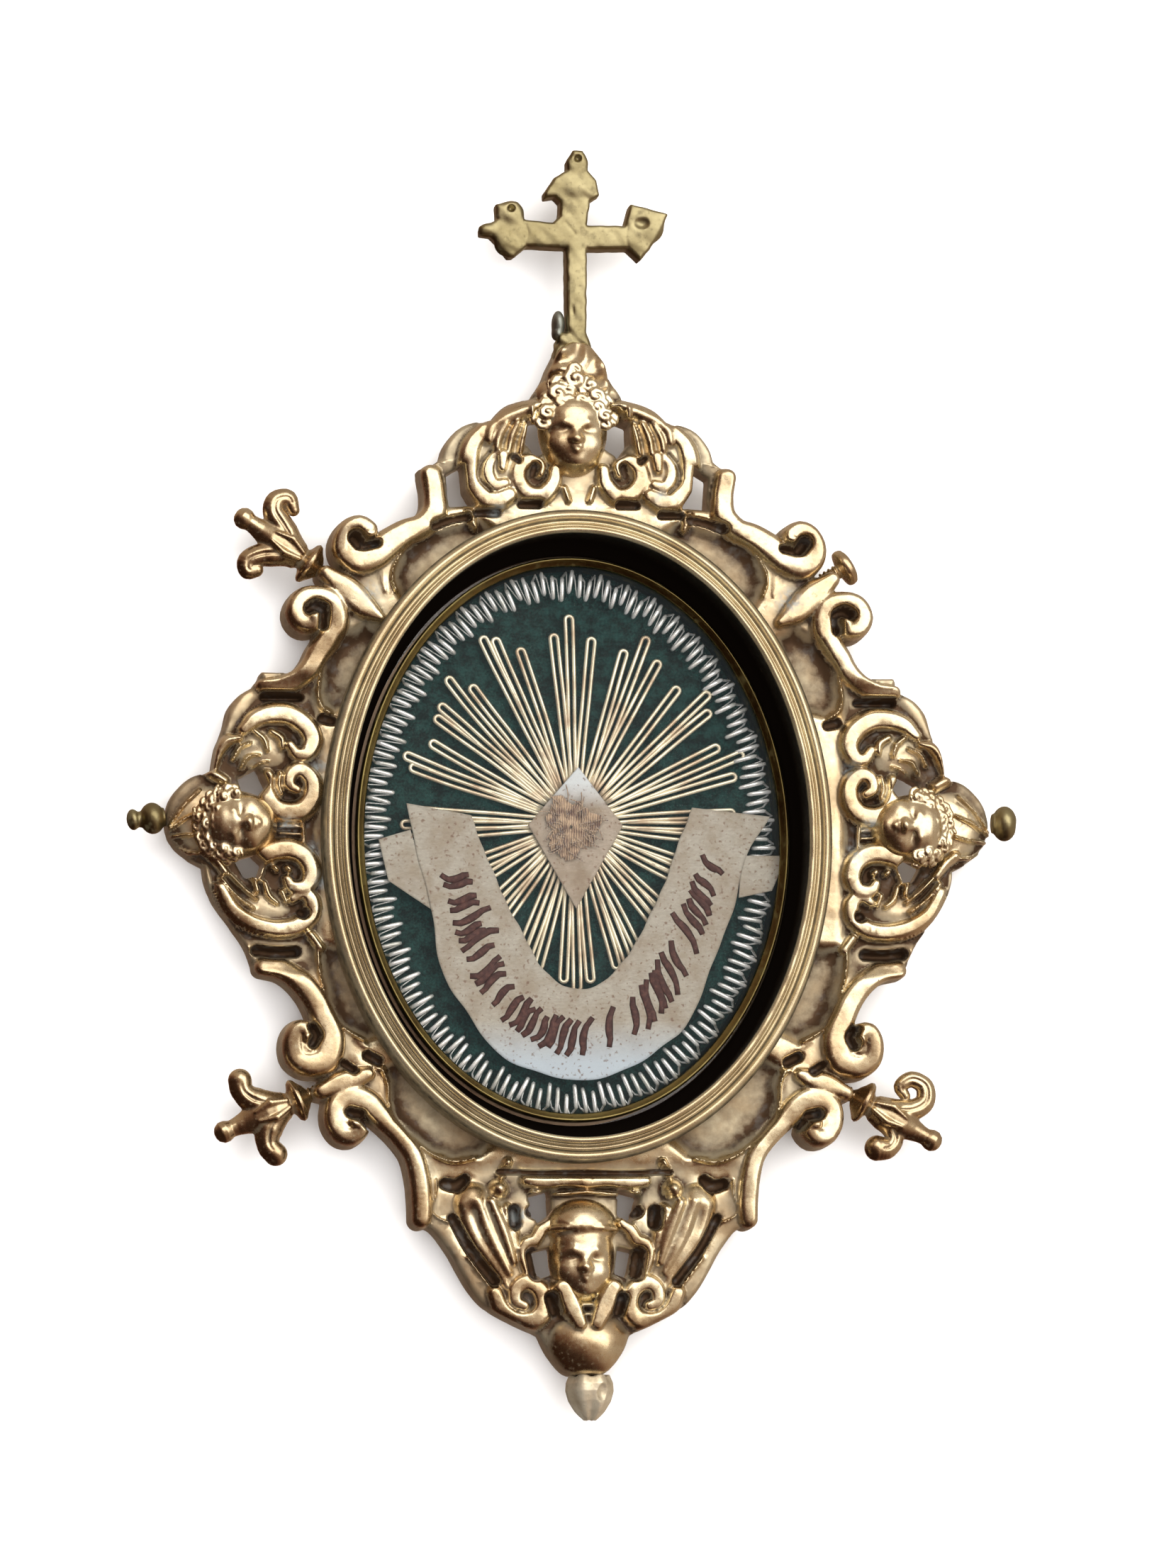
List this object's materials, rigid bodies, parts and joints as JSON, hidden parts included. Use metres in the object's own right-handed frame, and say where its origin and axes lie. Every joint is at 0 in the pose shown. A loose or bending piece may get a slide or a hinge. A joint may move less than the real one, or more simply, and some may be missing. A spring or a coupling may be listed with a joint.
{
  "type": "bronze reliquary",
  "caption": "Oval glazed reliquary in a gilt bronze scroll frame with cherub heads and a cross, on its back.",
  "frame": {"origin": "middle of the capsule's flat oval back, on which the reliquary lies", "axes": "+Z out of the front through the glass, +Y towards the cross, +X to the right as seen from the front"},
  "size_m": [0.0848, 0.12, 0.0106],
  "materials": {
    "gilt_bronze": "worn gilding over cast bronze, dark in the hollows",
    "olive_brass": "matt olive brass with brown tarnish",
    "pale_metal": "pale worn metal with whitish residue",
    "silver_wire": "bright crimped wire",
    "gold_wire": "bright drawn wire",
    "velvet": "dark green velvet",
    "parchment": "aged, with brown specks",
    "relic_cloth": "coarse brown cloth",
    "glass": "clear, slightly bluish"
  },
  "bodies": {
    "root": {"frame": "gilt_bronze", "cross": "olive_brass", "fleuron_upper_left": "gilt_bronze", "fleuron_lower_left": "gilt_bronze", "fleuron_lower_right": "gilt_bronze", "fleuron_stub_upper_right": "gilt_bronze", "side_knob_left": "olive_brass", "side_knob_right": "olive_brass", "bottom_bud": "pale_metal", "capsule": "olive_brass", "glass_pane": "glass", "velvet_pad": "velvet", "coil_border": "silver_wire", "ray_wires": "gold_wire", "relic_lozenge": "parchment", "relic_cloth": "relic_cloth", "label_banner": "parchment"}
  },
  "joints": []
}
